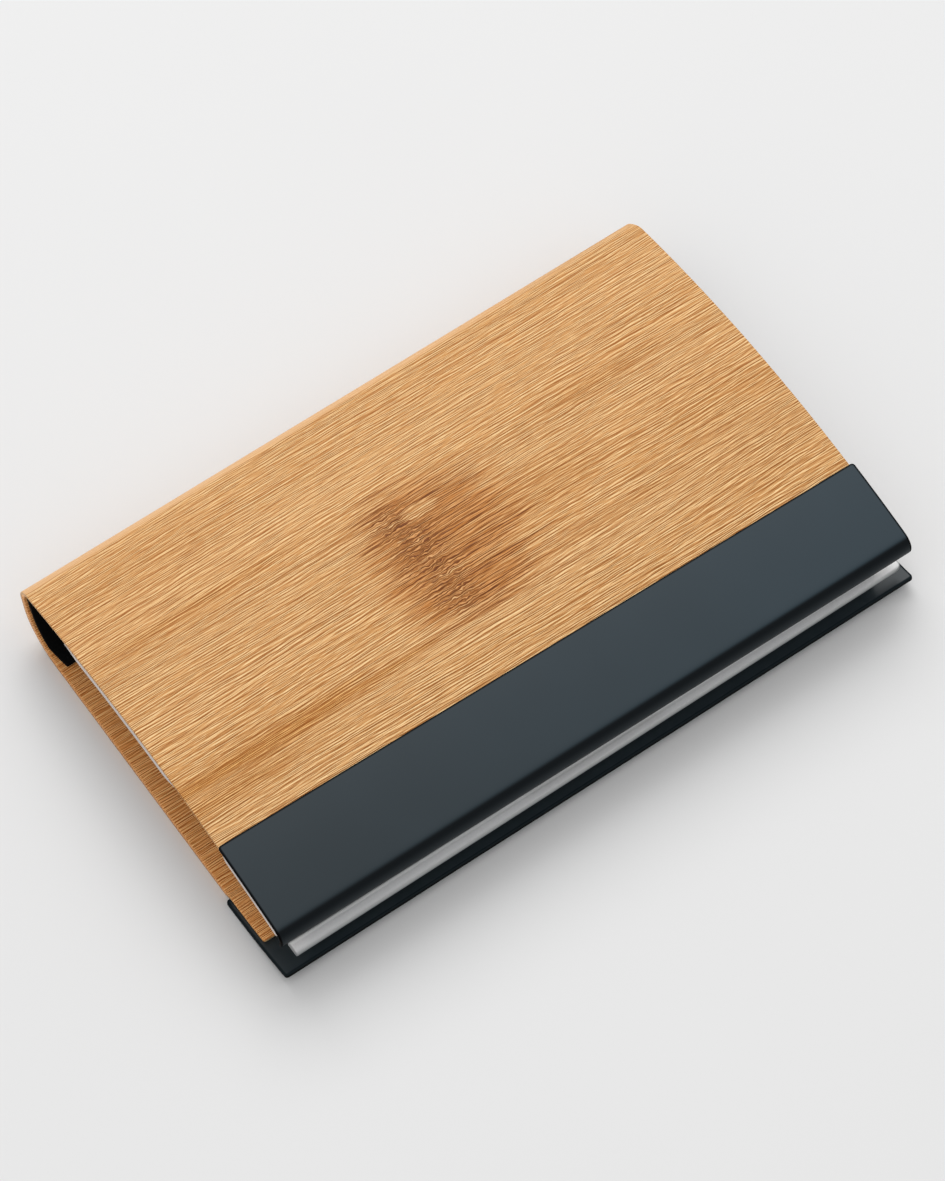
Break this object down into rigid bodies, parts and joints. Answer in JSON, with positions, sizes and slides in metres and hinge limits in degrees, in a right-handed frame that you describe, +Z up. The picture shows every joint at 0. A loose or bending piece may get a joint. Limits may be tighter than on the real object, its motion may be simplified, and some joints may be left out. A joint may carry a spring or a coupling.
{
  "type": "business card holder",
  "caption": "Folding bamboo card case: a wrap with magnetic cover, lacquered steel edge bands and a pressed steel tray for business cards.",
  "frame": {"origin": "on the table, under the middle of the closed holder's bounding box", "axes": "+X along the holder and its spine, -Y towards the opening edge with the bands, +Y towards the spine, +Z up through the front cover"},
  "size_m": [0.0988, 0.0617, 0.014],
  "materials": {
    "bamboo": "laminated bamboo veneer with a thin satin varnish, grain along the holder",
    "lacquer": "satin dark slate lacquer",
    "steel": "bright rolled stainless steel",
    "liner": "black coated cloth",
    "felt": "dark grey pressed felt",
    "plastic": "black moulded plastic",
    "foam": "white foam mounting tape",
    "nickel": "nickel-plated magnet"
  },
  "bodies": {
    "base": {"back_cover": "bamboo", "back_band": "lacquer", "spine_liner_base": "liner", "tray_tape": "foam", "card_tray": "steel", "front_rail": "steel"},
    "spine": {"spine_panel": "bamboo", "spine_liner_fold": "liner"},
    "cover": {"front_cover": "bamboo", "front_band": "lacquer", "front_plate": "steel", "cover_lining": "felt", "spine_liner_cover": "liner", "magnet_carrier": "plastic", "magnet_left": "nickel", "magnet_right": "nickel"}
  },
  "joints": [
    {"name": "spine_hinge", "type": "hinge", "parent": "base", "child": "spine", "pos_m": [0, 0.03029, 0.00594], "axis": [-1, 0, 0], "range_deg": [0, 90]},
    {"name": "cover_hinge", "type": "hinge", "parent": "spine", "child": "cover", "pos_m": [0, 0.03005, 0.0102], "axis": [-1, 0, 0], "range_deg": [0, 90]}
  ],
  "couplings": [
    {"joint": "spine_hinge", "follows": "cover_hinge", "ratio": 1}
  ]
}
